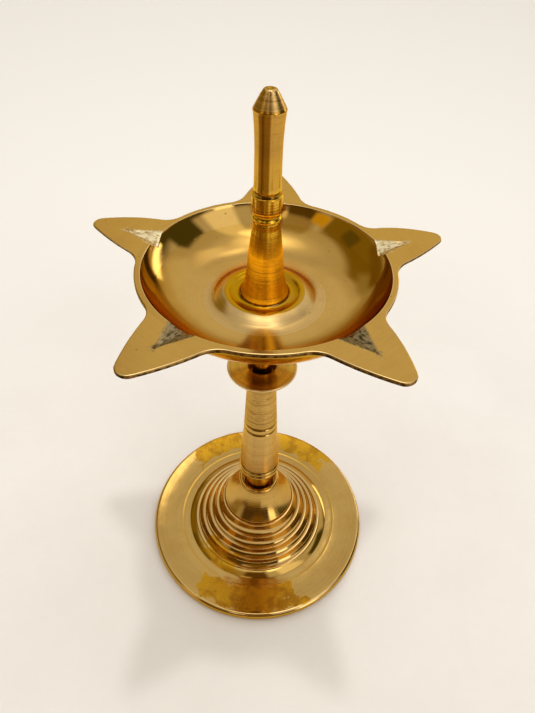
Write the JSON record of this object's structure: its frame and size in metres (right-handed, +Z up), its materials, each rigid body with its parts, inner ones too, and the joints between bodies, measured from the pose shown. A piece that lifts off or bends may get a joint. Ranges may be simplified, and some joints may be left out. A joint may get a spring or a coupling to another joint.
{
  "type": "oil lamp",
  "caption": "Standing brass oil lamp: stepped round base, turned stem with drip disc, star-shaped wick bowl with filed notches, and a tall turned finial, all screwed together.",
  "frame": {"origin": "on the floor, under the middle of the bounding box; the lamp's axis is 4.65 mm in front of the box's front-to-back middle, at y = -0.00465 m, because one wing of the star points straight back", "axes": "+Z up along the lamp's axis, +X to the right and -Y towards the viewer of the picture, +Y along the wing that points to the back"},
  "size_m": [0.1128, 0.1092, 0.1981],
  "materials": {
    "base": "polished brass, satin turned cone",
    "lower_stud": "turned brass, dark in the socket",
    "stem": "satin turned brass",
    "upper_stud": "turned brass",
    "bowl": "polished brass with rough filed notches",
    "finial_stud": "turned brass",
    "finial": "turned and polished brass with fine rings"
  },
  "bodies": {
    "base_body": {"base": "base"},
    "lower_stud_body": {"lower_stud": "lower_stud"},
    "stem_body": {"stem": "stem"},
    "upper_stud_body": {"upper_stud": "upper_stud"},
    "bowl_body": {"bowl": "bowl"},
    "finial_stud_body": {"finial_stud": "finial_stud"},
    "finial_body": {"finial": "finial"}
  },
  "joints": [
    {"name": "stem_rise", "type": "slide", "parent": "base_body", "child": "lower_stud_body", "axis": [0, 0, 1], "range_m": [0, 0.008]},
    {"name": "stem_turn", "type": "hinge", "parent": "lower_stud_body", "child": "stem_body", "pos_m": [0, -0.00465, 0.0436], "axis": [0, 0, 1], "range_deg": [0, 1440]},
    {"name": "bowl_rise", "type": "slide", "parent": "stem_body", "child": "upper_stud_body", "axis": [0, 0, 1], "range_m": [0, 0.006]},
    {"name": "bowl_turn", "type": "hinge", "parent": "upper_stud_body", "child": "bowl_body", "pos_m": [0, -0.00465, 0.113], "axis": [0, 0, 1], "range_deg": [0, 1440]},
    {"name": "finial_rise", "type": "slide", "parent": "bowl_body", "child": "finial_stud_body", "axis": [0, 0, 1], "range_m": [0, 0.006]},
    {"name": "finial_turn", "type": "hinge", "parent": "finial_stud_body", "child": "finial_body", "pos_m": [0, -0.00465, 0.1377], "axis": [0, 0, 1], "range_deg": [0, 1440]}
  ],
  "couplings": [
    {"joint": "stem_turn", "follows": "stem_rise", "rad_per_m": 3141.6},
    {"joint": "bowl_turn", "follows": "bowl_rise", "rad_per_m": 4188.8},
    {"joint": "finial_turn", "follows": "finial_rise", "rad_per_m": 4188.8}
  ]
}
